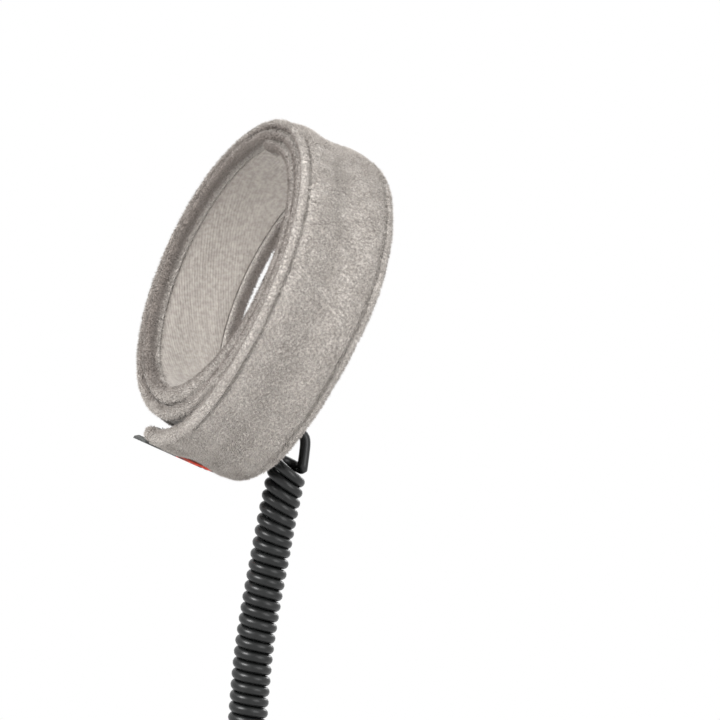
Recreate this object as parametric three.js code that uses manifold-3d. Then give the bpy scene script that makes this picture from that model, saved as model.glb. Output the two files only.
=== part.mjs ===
// Telescope dew heater strip, wound on itself as it sits round a lens, with its curly supply cord.
// Millimetres, +Z up. The origin is the middle of the opening that the lens fills.
// The opening looks towards -Y and tips up by LENS_PITCH; the cord hangs plumb.

import * as THREE from 'three';
import { mergeVertices } from 'three/addons/utils/BufferGeometryUtils.js';
import Module from 'manifold-3d';

const wasm = await Module();
wasm.setup();

// Winding: each turn lies on the one inside it, pressed thin over the top and slack underneath.
// A place round the lens is its clock angle in degrees; a bulge has its middle and its spread.
const LENS_PITCH = THREE.MathUtils.degToRad(23);
const LENS_RADIUS = 42;
const OUTER_END_CLOCK = 187;
const WOUND_DEGREES = 910;
const CLIMB_FROM = 0.63;
const LAYER_CLEARANCE = 0.3;
const SLACK = 3.3;
const SLACK_CLOCK = [159, 30];
const END_SPRING = 2.2;
const END_SPRING_DEGREES = 30;
const STEP_DEGREES = 9;

// Strap section: its width runs along the lens axis, its height outwards
const STRAP_WIDTH = 33;
const STRAP_THICKNESS = 4.4;
const PRESSED_SHARE = 0.75;
const FULL_CLOCK = [145, 65];
const CLOTH = 0.8;
const PIECE_GAP = 0.3;
const QUILT_DEPTH = 0.7;
const STITCH_INSET = 2.8;
const STITCH_DEPTH = 0.5;
const SEAM_LIP = 2.7;
const EDGE_WALL = 1.9;
const END_SEAM = 4;
const END_TAPER = 2.2;
const END_THINNESS = 0.7;

// Heater inside the strap, from the inner end
const ELEMENT_THICKNESS = 0.3;
const ELEMENT_WIDTH = 1.6;
const ELEMENT_PITCH = 11;
const ELEMENT_FROM = 14;
const ELEMENT_TO = 404;
const WIRE_CHANNEL = 4.4;
const LEAD_DIAMETER = 1;
const CRIMP_DIAMETER = 1.1;
const CRIMP_LENGTH = 4;
const CUTOUT_SIZE = [6, 3, 0.9];

// Fastening at the outer end
const HOOK_TAPE_LENGTH = 28;
const HOOK_TAPE_WIDTH = 27;
const HOOK_TAPE_THICKNESS = 1.4;
const HOOK_TAPE_INSET = 3;
const TAB_THICKNESS = 0.8;
const TAB_OVERLAP = 6;
const TAB_REACH = 5;

// Cord entry, on the rear edge of the innermost layer
const ENTRY_CLOCK = 156;
const RELIEF_FLANGE = [6.6, 3.1];
const RELIEF_NECK_WIDTH = 3.4;
const RELIEF_CORE = 1.3;
const RELIEF_NOSE_LENGTH = 4;
const RELIEF_ROOT_RADIUS = 3;
const RELIEF_TIP_RADIUS = 2.4;

// Cord: short lead, curly section, straight tail, then the plug
const CORD_DIAMETER = 3.5;
const CURL_DIAMETER = 12.9;
const LEAD_PATH = [
    [17.8, 3.8, -45.1], [17.8, 5.6, -45.9], [17.9, 7.6, -48], [18.1, 8.3, -51.2], [18.1, 7.8, -56.3],
];
const CURL_PATH = [
    [18.3, 2.9, -56.1], [17.1, 1.5, -64.1], [15.4, -0.5, -76.1], [13.8, -2.4, -89.1],
    [12.2, -4.7, -104.1], [10.8, -6.4, -118.1], [9.8, -7.7, -135.1], [9.2, -8.5, -153.1],
    [8.9, -8.8, -173.1], [8.8, -8.9, -190.1], [8.8, -8.9, -204.1],
];
const TAIL_LENGTH = 22;

// Phono plug, hanging from the tail
const PLUG_SLEEVE_LENGTH = 13;
const PLUG_SLEEVE_RADII = [2.5, 3.4];
const PLUG_RIBS = 4;
const PLUG_RIB_DEPTH = 0.5;
const PLUG_BODY_LENGTH = 20;
const PLUG_BODY_RADIUS = 5;
const PLUG_BODY_CHAMFER = 1;
const PLUG_SHELL_LENGTH = 8;
const PLUG_SHELL_RADIUS = 4.5;
const PLUG_SHELL_WALL = 0.6;
const PLUG_SHELL_SLOTS = 4;
const PLUG_SLOT_SIZE = [0.8, 5.5];
const PLUG_INSULATOR_LENGTH = 3;
const PLUG_PIN_RADIUS = 1.6;
const PLUG_PIN_LENGTH = 15;

const TURN = 360;
const ROUND_SIDES = 24;
const WIRE_SIDES = 6;
const CORD_SIDES = 8;
const CURL_SIDES = 16;
const EDGE_STEPS = 4;

const halfWidth = STRAP_WIDTH / 2;
const halfHeight = STRAP_THICKNESS / 2;
const startClock = OUTER_END_CLOCK - WOUND_DEGREES;
const entryWind = THREE.MathUtils.euclideanModulo(ENTRY_CLOCK - startClock, TURN);

const pocketHalfWidth = halfWidth - EDGE_WALL;
const pocketFloor = -halfHeight + CLOTH;
const pocketRoof = halfHeight - QUILT_DEPTH - CLOTH;
const windowHalfWidth = halfWidth - halfHeight - SEAM_LIP;

const elementFloor = pocketFloor + PIECE_GAP;
const elementRoof = elementFloor + ELEMENT_THICKNESS;
const padFront = -pocketHalfWidth + PIECE_GAP;
const padRear = pocketHalfWidth - WIRE_CHANNEL;
const channelMiddle = pocketHalfWidth - WIRE_CHANNEL / 2;
const channelHeight = (pocketFloor + pocketRoof) / 2;

const materials = {
    fleece: new THREE.MeshStandardMaterial({ color: 0xb9b2ab, roughness: 1, metalness: 0 }),
    lining: new THREE.MeshStandardMaterial({ color: 0xa79f98, roughness: 1, metalness: 0 }),
    foam: new THREE.MeshStandardMaterial({ color: 0xe6e2d4, roughness: 0.95, metalness: 0 }),
    alloy: new THREE.MeshStandardMaterial({ color: 0x9a948a, roughness: 0.4, metalness: 0.9 }),
    ceramic: new THREE.MeshStandardMaterial({ color: 0xe9e6dc, roughness: 0.7, metalness: 0 }),
    tin: new THREE.MeshStandardMaterial({ color: 0xc9ccce, roughness: 0.35, metalness: 0.95 }),
    redWire: new THREE.MeshStandardMaterial({ color: 0xb3241c, roughness: 0.5, metalness: 0 }),
    blackWire: new THREE.MeshStandardMaterial({ color: 0x1a1a1c, roughness: 0.5, metalness: 0 }),
    webbing: new THREE.MeshStandardMaterial({ color: 0x2c2d2c, roughness: 0.8, metalness: 0 }),
    rubber: new THREE.MeshStandardMaterial({ color: 0x1d1e1f, roughness: 0.55, metalness: 0 }),
    nickel: new THREE.MeshStandardMaterial({ color: 0xcfcdc6, roughness: 0.25, metalness: 1 }),
    insulator: new THREE.MeshStandardMaterial({ color: 0xe8e6e0, roughness: 0.5, metalness: 0 }),
};

// Angle round the lens, clockwise from the top as seen from the front, for a place on the strap
function clockAngle(wind) {
    return THREE.MathUtils.degToRad(startClock + wind);
}

// 1 in the middle of a bulge, falling smoothly to 0 away from it
function bulge(wind, [middle, spread]) {
    const away = THREE.MathUtils.euclideanModulo(startClock + wind - middle + TURN / 2, TURN) - TURN / 2;
    return Math.exp(-((away / spread) ** 2));
}

// The strap's thickness at a place, as a share of its full thickness
function loft(wind) {
    return PRESSED_SHARE + (1 - PRESSED_SHARE) * bulge(wind, FULL_CLOCK);
}

// Turns that lie inside a place, climbing by one over the inner end late in each turn
function turnsInside(wind) {
    const turn = Math.floor(wind / TURN);
    return turn + THREE.MathUtils.smoothstep(wind / TURN - turn, CLIMB_FROM, 1);
}

function middleRadius(wind) {
    const thickness = STRAP_THICKNESS * loft(wind);
    const turnPitch = thickness + LAYER_CLEARANCE + SLACK * bulge(wind, SLACK_CLOCK);
    const spring = THREE.MathUtils.smoothstep(wind, WOUND_DEGREES - END_SPRING_DEGREES, WOUND_DEGREES);
    return LENS_RADIUS + thickness / 2 + turnsInside(wind) * turnPitch + END_SPRING * spring;
}

// A point of the wound strap: degrees of winding from the inner end, along the width, and outwards
function strapPoint(wind, across, out) {
    const radius = middleRadius(wind) + out * loft(wind);
    const clock = clockAngle(wind);
    return new THREE.Vector3(radius * Math.sin(clock), across, radius * Math.cos(clock));
}

// Degrees of winding that a length of strap takes up at a place
function windFor(length, wind) {
    return THREE.MathUtils.radToDeg(length / middleRadius(wind));
}

// Turns a piece from its own frame (X along the strap, Y rearwards, Z outwards) to its place
function placed(geometry, wind, across, out) {
    const place = strapPoint(wind, across, out);
    return geometry.rotateY(clockAngle(wind)).translate(place.x, place.y, place.z);
}

// A closed solid from rings of points, each with the same number of points
function solidFromRings(rings, capCorners) {
    const count = rings[0].length;
    const index = [];
    for (let ring = 0; ring < rings.length - 1; ring++) {
        for (let side = 0; side < count; side++) {
            const a = ring * count + side;
            const b = ring * count + (side + 1) % count;
            index.push(a, b, a + count, b, b + count, a + count);
        }
    }
    const last = (rings.length - 1) * count;
    for (const [a, b, c] of THREE.ShapeUtils.triangulateShape(capCorners, [])) {
        index.push(a, c, b, last + a, last + b, last + c);
    }
    const position = rings.flat().flatMap((point) => point.toArray());
    const geometry = new THREE.BufferGeometry();
    geometry.setAttribute('position', new THREE.Float32BufferAttribute(position, 3));
    geometry.setIndex(index);
    return geometry;
}

// Winding angles from one place to another, on whole steps so that all layers share their corners
function windSteps(from, to) {
    const steps = [from];
    for (let wind = STEP_DEGREES * Math.ceil(from / STEP_DEGREES); wind < to; wind += STEP_DEGREES) {
        if (Math.min(wind - from, to - wind) > STEP_DEGREES / 8) steps.push(wind);
    }
    steps.push(to);
    return steps;
}

// Sweeps a section of [across, out] corners, listed anticlockwise, along the wound strap
function woundSolid(section, winds, thin = () => 1) {
    const rings = winds.map((wind) => section.map(
        ([across, out]) => strapPoint(wind, across * (1 + thin(wind)) / 2, out * thin(wind))));
    return solidFromRings(rings, section.map(([across, out]) => new THREE.Vector2(across, out)));
}

function rectangle(front, rear, floor, roof) {
    return [[front, floor], [rear, floor], [rear, roof], [front, roof]];
}

function toManifold(geometry) {
    const bare = geometry.clone();
    bare.deleteAttribute('normal');
    bare.deleteAttribute('uv');
    const merged = mergeVertices(bare);
    return new wasm.Manifold(new wasm.Mesh({
        numProp: 3,
        vertProperties: new Float32Array(merged.attributes.position.array),
        triVerts: new Uint32Array(merged.index.array),
    }));
}

function toGeometry(solid) {
    const mesh = solid.getMesh();
    const geometry = new THREE.BufferGeometry();
    geometry.setAttribute('position', new THREE.BufferAttribute(mesh.vertProperties, 3));
    geometry.setIndex(new THREE.BufferAttribute(mesh.triVerts, 1));
    return geometry;
}

// A round wire or cord along a smooth run of points
function wireSolid(points, diameter, sides, steps) {
    const corners = Array.from({ length: sides }, (_, k) => {
        const angle = (k + 0.5) * 2 * Math.PI / sides;
        return new THREE.Vector2(Math.cos(angle), Math.sin(angle)).multiplyScalar(diameter / 2);
    });
    const path = new THREE.CatmullRomCurve3(points, false, 'centripetal');
    return new THREE.ExtrudeGeometry(new THREE.Shape(corners), { steps, extrudePath: path });
}

// A turned piece about Z, from [radius, height] corners that start and end on the axis
function turned(profile, sides = ROUND_SIDES) {
    return new THREE.LatheGeometry(profile.map(([r, z]) => new THREE.Vector2(r, z)), sides)
        .rotateX(Math.PI / 2);
}

// Outline of the padded strap: round edges, a stitched groove by each edge, two quilted crowns
function strapOutline() {
    const edgeCentre = halfWidth - halfHeight;
    const edge = (centre, turnFrom) => Array.from({ length: EDGE_STEPS + 1 }, (_, k) => {
        const angle = turnFrom + k * Math.PI / EDGE_STEPS;
        return [centre + halfHeight * Math.cos(angle), halfHeight * Math.sin(angle)];
    });
    return [
        ...edge(edgeCentre, -Math.PI / 2),
        [halfWidth - STITCH_INSET, halfHeight - STITCH_DEPTH],
        [halfWidth / 2, halfHeight], [0, halfHeight - QUILT_DEPTH], [-halfWidth / 2, halfHeight],
        [STITCH_INSET - halfWidth, halfHeight - STITCH_DEPTH],
        ...edge(-edgeCentre, Math.PI / 2),
    ];
}

// How much of its thickness the strap keeps towards a sewn end
function endThinness(wind) {
    const toEnd = Math.min(wind, WOUND_DEGREES - wind);
    const distance = THREE.MathUtils.degToRad(toEnd) * middleRadius(wind);
    const share = Math.min(1, distance / END_TAPER);
    return END_THINNESS + (1 - END_THINNESS) * Math.sqrt(share);
}

// Winding angles for the whole strap, with extra rings where the ends round off
function strapWinds() {
    const shares = [0, 0.3, 1];
    const first = shares.map((share) => windFor(share * END_TAPER, 0));
    const last = shares.map((share) => WOUND_DEGREES - windFor(share * END_TAPER, WOUND_DEGREES));
    const middle = windSteps(first[2], last[2]);
    return [first[0], first[1], ...middle, last[1], last[0]];
}

// The stretch of strap between its two sewn ends, less a gap at each
function pocketWinds(gap) {
    const from = windFor(END_SEAM + gap, 0);
    const to = WOUND_DEGREES - windFor(END_SEAM + gap, WOUND_DEGREES);
    return windSteps(from, to);
}

// Fleece shell: a pocket for the heater, a window for the lining, a slot for the strain relief
function outerCover() {
    const mouth = -halfHeight - LAYER_CLEARANCE / 2;
    const pocket = [
        [-windowHalfWidth, mouth], [windowHalfWidth, mouth], [windowHalfWidth, pocketFloor],
        [pocketHalfWidth, pocketFloor], [pocketHalfWidth, pocketRoof],
        [-pocketHalfWidth, pocketRoof], [-pocketHalfWidth, pocketFloor], [-windowHalfWidth, pocketFloor],
    ];
    const slot = new THREE.BoxGeometry(
        RELIEF_NECK_WIDTH + 2 * PIECE_GAP, 2 * EDGE_WALL, RELIEF_CORE + 2 * PIECE_GAP);
    const shell = toManifold(woundSolid(strapOutline(), strapWinds(), endThinness));
    return toGeometry(shell
        .subtract(toManifold(woundSolid(pocket, pocketWinds(0))))
        .subtract(toManifold(placed(slot, entryWind, halfWidth - EDGE_WALL / 2, channelHeight))));
}

// Lining against the lens, sewn into the window between the seam lips
function innerCover() {
    const half = windowHalfWidth - PIECE_GAP;
    return woundSolid(rectangle(-half, half, -halfHeight, pocketFloor), pocketWinds(PIECE_GAP));
}

function foamPad() {
    const section = rectangle(padFront, padRear, elementRoof + PIECE_GAP, pocketRoof - PIECE_GAP);
    return woundSolid(section, pocketWinds(PIECE_GAP));
}

// Middle line of the resistance strip, [wind, across], folded to and fro across the pad.
// Both ends cross to the wire channel and turn along it, towards the cord's entry.
function elementLine() {
    const front = padFront + ELEMENT_WIDTH;
    const rear = padRear - 2 * ELEMENT_WIDTH;
    const length = THREE.MathUtils.degToRad(ELEMENT_TO - ELEMENT_FROM) * middleRadius(ELEMENT_FROM);
    const runs = 2 * Math.round(length / ELEMENT_PITCH) + 1;
    const line = [[ELEMENT_FROM + windFor(ELEMENT_WIDTH, ELEMENT_FROM), channelMiddle]];
    for (let run = 0; run <= runs; run++) {
        const wind = ELEMENT_FROM + (ELEMENT_TO - ELEMENT_FROM) * run / runs;
        const ends = run % 2 ? [front, rear] : [rear, front];
        if (run === 0) ends[0] = channelMiddle;
        if (run === runs) ends[1] = channelMiddle;
        line.push([wind, ends[0]], [wind, ends[1]]);
    }
    line.push([ELEMENT_TO - windFor(ELEMENT_WIDTH, ELEMENT_TO), channelMiddle]);
    return line;
}

// Flat resistance strip of even width along that line, lying in the strap's own curve
function heatingElement() {
    const line = elementLine();
    const flat = line.map(([wind, across]) => new THREE.Vector2(
        THREE.MathUtils.degToRad(wind) * middleRadius(ELEMENT_FROM), across));
    const rings = line.map(([wind, across], k) => {
        const before = flat[k].clone().sub(flat[Math.max(k - 1, 0)]).normalize();
        const after = flat[Math.min(k + 1, flat.length - 1)].clone().sub(flat[k]).normalize();
        const heading = before.add(after).normalize();
        const side = new THREE.Vector2(-heading.y, heading.x).multiplyScalar(ELEMENT_WIDTH / 2);
        const left = [wind + windFor(side.x, wind), across + side.y];
        const right = [wind - windFor(side.x, wind), across - side.y];
        return [
            strapPoint(...right, elementFloor), strapPoint(...left, elementFloor),
            strapPoint(...left, elementRoof), strapPoint(...right, elementRoof),
        ];
    });
    return solidFromRings(rings, rectangle(0, 1, 0, 1).map(([x, y]) => new THREE.Vector2(x, y)));
}

// Places of the pieces in the wire channel, worked out from the element's ends
function channelLayout() {
    const gap = windFor(PIECE_GAP, ELEMENT_FROM);
    const farGap = windFor(PIECE_GAP, ELEMENT_TO);
    const cutoutFrom = ELEMENT_FROM + windFor(ELEMENT_WIDTH, ELEMENT_FROM) + gap;
    const cutoutTo = cutoutFrom + windFor(CUTOUT_SIZE[0], cutoutFrom);
    const supplyFrom = cutoutTo + gap;
    const supplyTo = supplyFrom + windFor(CRIMP_LENGTH, supplyFrom);
    const returnTo = ELEMENT_TO - windFor(ELEMENT_WIDTH, ELEMENT_TO) - farGap;
    const returnFrom = returnTo - windFor(CRIMP_LENGTH, returnTo);
    const flangeReach = windFor(RELIEF_FLANGE[0] / 2 + PIECE_GAP, entryWind);
    return {
        cutout: (cutoutFrom + cutoutTo) / 2,
        crimpSupply: (supplyFrom + supplyTo) / 2,
        crimpReturn: (returnFrom + returnTo) / 2,
        leadSupply: [supplyTo + gap, entryWind - flangeReach],
        leadReturn: [entryWind + flangeReach, returnFrom - farGap],
    };
}

// Flat self-resetting switch that opens if the strap gets too hot
function overheatCutout(wind) {
    return placed(new THREE.BoxGeometry(...CUTOUT_SIZE), wind, channelMiddle, channelHeight);
}

function crimp(wind) {
    const radius = CRIMP_DIAMETER / 2;
    const barrel = new THREE.CylinderGeometry(radius, radius, CRIMP_LENGTH, CORD_SIDES);
    return placed(barrel.rotateZ(Math.PI / 2), wind, channelMiddle, channelHeight);
}

function lead([from, to]) {
    const steps = Math.ceil((to - from) / STEP_DEGREES);
    const points = Array.from({ length: steps + 1 }, (_, k) => strapPoint(
        from + (to - from) * k / steps, channelMiddle, channelHeight));
    return wireSolid(points, LEAD_DIAMETER, WIRE_SIDES, steps);
}

// Moulded in one: a flange inside the edge seam, a flat neck through it, a round nose outside
function strainRelief() {
    const noseBase = halfWidth + PIECE_GAP;
    const flangeRear = pocketHalfWidth - PIECE_GAP;
    const flangeFront = flangeRear - RELIEF_FLANGE[1];
    const flange = new THREE.BoxGeometry(RELIEF_FLANGE[0], RELIEF_FLANGE[1], RELIEF_CORE)
        .translate(0, (flangeFront + flangeRear) / 2, 0);
    const neckLength = noseBase + RELIEF_NOSE_LENGTH / 2 - flangeFront;
    const neck = new THREE.BoxGeometry(RELIEF_NECK_WIDTH, neckLength, RELIEF_CORE)
        .translate(0, flangeFront + neckLength / 2, 0);
    const nose = turned([
        [0, 0], [RELIEF_ROOT_RADIUS, 0], [RELIEF_ROOT_RADIUS, RELIEF_NOSE_LENGTH / 4],
        [RELIEF_TIP_RADIUS, RELIEF_NOSE_LENGTH], [0, RELIEF_NOSE_LENGTH],
    ]).rotateX(-Math.PI / 2).translate(0, noseBase, 0);
    const whole = toManifold(flange).add(toManifold(neck)).add(toManifold(nose));
    return placed(toGeometry(whole), entryWind, 0, channelHeight);
}

// Hook tape sewn under the outer end, which grips the fleece of the layer below
function hookTape() {
    const to = WOUND_DEGREES - windFor(HOOK_TAPE_INSET, WOUND_DEGREES);
    const from = STEP_DEGREES * Math.round((to - windFor(HOOK_TAPE_LENGTH, to)) / STEP_DEGREES);
    const half = HOOK_TAPE_WIDTH / 2;
    const roof = -halfHeight - PIECE_GAP;
    return woundSolid(rectangle(-half, half, roof - HOOK_TAPE_THICKNESS, roof), windSteps(from, to));
}

// Stiff woven tab across the outer end, sewn over it and reaching past it to be pulled
function endTab() {
    const from = WOUND_DEGREES - windFor(TAB_OVERLAP, WOUND_DEGREES);
    const to = WOUND_DEGREES + windFor(TAB_REACH, WOUND_DEGREES);
    const floor = halfHeight + PIECE_GAP;
    const section = rectangle(-halfWidth, halfWidth, floor, floor + TAB_THICKNESS);
    return woundSolid(section, windSteps(from, to));
}

function pathPoints(path) {
    return path.map((point) => new THREE.Vector3(...point));
}

function cordLead() {
    return wireSolid(pathPoints(LEAD_PATH), CORD_DIAMETER, CORD_SIDES, LEAD_PATH.length);
}

// The curly section's outer shape
function curlyCord() {
    return wireSolid(pathPoints(CURL_PATH), CURL_DIAMETER, CURL_SIDES, 2 * CURL_PATH.length);
}

const curlEnd = new THREE.Vector3(...CURL_PATH[CURL_PATH.length - 1]);
const tailTop = curlEnd.z - PIECE_GAP;
const tailBottom = tailTop - TAIL_LENGTH;
const plugTop = tailBottom - PIECE_GAP;
const sleeveBottom = plugTop - PLUG_SLEEVE_LENGTH;
const bodyBottom = sleeveBottom - PLUG_BODY_LENGTH;
const shellTop = bodyBottom - PIECE_GAP;

function onPlug(geometry) {
    return geometry.translate(curlEnd.x, curlEnd.y, 0);
}

function cordTail() {
    const ends = [new THREE.Vector3(0, 0, tailBottom), new THREE.Vector3(0, 0, tailTop)];
    return onPlug(wireSolid(ends, CORD_DIAMETER, CORD_SIDES, 5));
}

// Moulded in one on the cord: a ribbed tapering sleeve and the grip
function plugBody() {
    const [thin, thick] = PLUG_SLEEVE_RADII;
    const ribHeight = PLUG_SLEEVE_LENGTH / PLUG_RIBS;
    const sleeve = [];
    for (let rib = 0; rib < PLUG_RIBS; rib++) {
        const low = sleeveBottom + rib * ribHeight;
        const radius = thick + (thin - thick) * rib / (PLUG_RIBS - 1);
        sleeve.push([radius - PLUG_RIB_DEPTH, low], [radius - PLUG_RIB_DEPTH, low + ribHeight * 0.35]);
        sleeve.push([radius, low + ribHeight * 0.5], [radius, low + ribHeight]);
    }
    return onPlug(turned([
        [0, bodyBottom], [PLUG_BODY_RADIUS - PLUG_BODY_CHAMFER, bodyBottom],
        [PLUG_BODY_RADIUS, bodyBottom + PLUG_BODY_CHAMFER],
        [PLUG_BODY_RADIUS, sleeveBottom - PLUG_BODY_CHAMFER],
        [PLUG_BODY_RADIUS - PLUG_BODY_CHAMFER, sleeveBottom],
        ...sleeve, [0, plugTop],
    ]));
}

// A ring of rectangular section about Z
function turnedRing(inside, outside, bottom, top) {
    return turned([[inside, bottom], [outside, bottom], [outside, top], [inside, top], [inside, bottom]]);
}

// Springy outer contact: a thin ring, slotted into petals
function plugShell() {
    const bottom = shellTop - PLUG_SHELL_LENGTH;
    const inside = PLUG_SHELL_RADIUS - PLUG_SHELL_WALL;
    let shell = toManifold(turnedRing(inside, PLUG_SHELL_RADIUS, bottom, shellTop));
    const [slotWidth, slotLength] = PLUG_SLOT_SIZE;
    for (let slot = 0; slot < PLUG_SHELL_SLOTS / 2; slot++) {
        const cut = new THREE.BoxGeometry(slotWidth, 3 * PLUG_SHELL_RADIUS, 2 * slotLength)
            .translate(0, 0, bottom).rotateZ(slot * 2 * Math.PI / PLUG_SHELL_SLOTS);
        shell = shell.subtract(toManifold(cut));
    }
    return onPlug(toGeometry(shell));
}

function plugInsulator() {
    const radius = PLUG_SHELL_RADIUS - PLUG_SHELL_WALL - PIECE_GAP;
    const hole = PLUG_PIN_RADIUS + PIECE_GAP;
    return onPlug(turnedRing(hole, radius, shellTop - PLUG_INSULATOR_LENGTH, shellTop));
}

function plugPin() {
    const tip = shellTop - PLUG_PIN_LENGTH;
    return onPlug(turned([
        [0, tip], [PLUG_PIN_RADIUS / 2, tip], [PLUG_PIN_RADIUS, tip + PLUG_PIN_RADIUS],
        [PLUG_PIN_RADIUS, shellTop], [0, shellTop],
    ]));
}

function named(name, geometry, material) {
    const mesh = new THREE.Mesh(geometry, material);
    mesh.name = name;
    return mesh;
}

const layout = channelLayout();

const strap = new THREE.Group();
strap.rotation.x = -LENS_PITCH;
strap.add(
    named('outer_cover', outerCover(), materials.fleece),
    named('inner_cover', innerCover(), materials.lining),
    named('foam_pad', foamPad(), materials.foam),
    named('heating_element', heatingElement(), materials.alloy),
    named('overheat_cutout', overheatCutout(layout.cutout), materials.ceramic),
    named('crimp_supply', crimp(layout.crimpSupply), materials.tin),
    named('crimp_return', crimp(layout.crimpReturn), materials.tin),
    named('lead_supply', lead(layout.leadSupply), materials.redWire),
    named('lead_return', lead(layout.leadReturn), materials.blackWire),
    named('strain_relief', strainRelief(), materials.rubber),
    named('hook_tape', hookTape(), materials.webbing),
    named('end_tab', endTab(), materials.webbing),
);

const cord = new THREE.Group();
cord.add(
    named('cord_lead', cordLead(), materials.rubber),
    named('curly_cord', curlyCord(), materials.rubber),
    named('cord_tail', cordTail(), materials.rubber),
    named('plug_body', plugBody(), materials.rubber),
    named('plug_shell', plugShell(), materials.nickel),
    named('plug_insulator', plugInsulator(), materials.insulator),
    named('plug_pin', plugPin(), materials.nickel),
);

const heaterStrip = new THREE.Group();
heaterStrip.add(strap, cord);

export default heaterStrip;
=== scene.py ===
import math

import bmesh
import bpy
import numpy as np
from mathutils import Matrix, Vector


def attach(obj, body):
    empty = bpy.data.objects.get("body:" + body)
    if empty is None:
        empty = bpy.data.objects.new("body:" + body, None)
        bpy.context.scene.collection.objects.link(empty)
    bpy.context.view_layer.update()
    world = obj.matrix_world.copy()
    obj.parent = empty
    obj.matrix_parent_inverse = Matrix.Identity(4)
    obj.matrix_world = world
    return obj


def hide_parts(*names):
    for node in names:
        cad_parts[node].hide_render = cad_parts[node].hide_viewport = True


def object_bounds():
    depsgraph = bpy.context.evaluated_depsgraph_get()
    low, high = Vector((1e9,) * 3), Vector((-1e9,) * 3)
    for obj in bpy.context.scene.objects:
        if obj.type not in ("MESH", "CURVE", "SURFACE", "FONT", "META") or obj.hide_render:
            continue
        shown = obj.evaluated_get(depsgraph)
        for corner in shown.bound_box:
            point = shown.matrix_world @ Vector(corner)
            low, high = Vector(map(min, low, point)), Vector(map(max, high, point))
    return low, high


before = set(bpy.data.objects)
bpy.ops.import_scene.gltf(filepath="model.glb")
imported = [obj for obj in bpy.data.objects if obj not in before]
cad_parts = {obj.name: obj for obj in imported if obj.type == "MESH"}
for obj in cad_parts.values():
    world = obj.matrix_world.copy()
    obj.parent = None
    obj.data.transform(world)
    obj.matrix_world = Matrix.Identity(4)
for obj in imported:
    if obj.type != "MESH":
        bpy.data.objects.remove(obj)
cad_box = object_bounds()
scene = bpy.context.scene

# The view: a level camera, well round to the side on which the cord hangs. It looks at the
# front of the roll at a slant, and the cord runs out of the bottom of the picture.
VIEW_AZIMUTH = math.radians(64.3)
VIEW_AIM = Vector((0.0144, 0.0299, -0.0240))
VIEW_DISTANCE = 1.2
VIEW_WIDTH = 0.2345

towards_camera = Vector((math.sin(VIEW_AZIMUTH), -math.cos(VIEW_AZIMUTH), 0))
photo_view = bpy.data.cameras.new("photo_view")
photo_view.sensor_width = 36
photo_view.lens = photo_view.sensor_width * VIEW_DISTANCE / VIEW_WIDTH
photo_view.clip_start = 0.01
camera = bpy.data.objects.new("photo_view", photo_view)
camera.location = VIEW_AIM + towards_camera * VIEW_DISTANCE
camera.rotation_euler = towards_camera.to_track_quat("Z", "Y").to_euler()
scene.collection.objects.link(camera)
scene.camera = camera


# The cord: two cores in a satin black rubber jacket. Its middle is wound on a rod and cured,
# so that it springs back into touching turns; its two ends stay straight.
CORD_DIAMETER = 0.00345
TURN_RADIUS = 0.0047
TURN_PITCH = 0.00352
POINTS_A_TURN = 32
TOP_TILT = math.radians(24)
TILTED_LENGTH = 0.030
FIRST_PHASE = math.radians(72)
FIRST_GAP, FIRST_GAP_FADES = 0.004, 0.0012
CURL_STOPS_SHORT = 0.004
AXIS_POINTS, LEAD_POINTS, TAIL_POINTS = 4000, 24, 70
TAIL_SWING, TAIL_DROP, TAIL_SAG = 0.0034, 0.0016, 0.0006
EXIT = (0.0178, 0.0035, -0.0450)
LEAD_ROUTE = [
    EXIT, (0.0178, 0.0055, -0.0459), (0.0180, 0.0074, -0.0478), (0.0186, 0.0083, -0.0505),
]
CURL_ROUTE = [
    (0.0183, 0.0029, -0.0561), (0.0171, 0.0015, -0.0641), (0.0154, -0.0005, -0.0761),
    (0.0138, -0.0024, -0.0891), (0.0122, -0.0047, -0.1041), (0.0108, -0.0064, -0.1181),
    (0.0098, -0.0077, -0.1351), (0.0092, -0.0085, -0.1531), (0.0089, -0.0088, -0.1731),
    (0.0088, -0.0089, -0.1901), (0.0088, -0.0089, -0.2041),
]
TAIL_ROUTE = [(0.0088, -0.0089, -0.2120), (0.0088, -0.0089, -0.2190), (0.0088, -0.0089, -0.2280)]


def curve_through(points, shares):
    """Points on a smooth line through the given ones, at the same shares of each stretch."""
    given = np.array(points, float)
    ends = np.vstack([2 * given[0] - given[1], given, 2 * given[-1] - given[-2]])
    share = np.array(shares)[:, None]
    line = []
    for a, b, c, d in zip(ends, ends[1:], ends[2:], ends[3:]):
        bend = (2 * a - 5 * b + 4 * c - d) * share**2 + (3 * b - a - 3 * c + d) * share**3
        line.append(b + 0.5 * ((c - a) * share + bend))
    return np.vstack([*line, given[-1:]])


def through(points, count, fineness=40):
    """Evenly spaced points on a smooth line through the given points."""
    line = curve_through(points, np.linspace(0, 1, fineness, endpoint=False))
    travelled = np.concatenate([[0], np.cumsum(np.linalg.norm(np.diff(line, axis=0), axis=1))])
    at = np.linspace(0, travelled[-1], count)
    return np.stack([np.interp(at, travelled, line[:, k]) for k in range(3)], 1)


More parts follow.
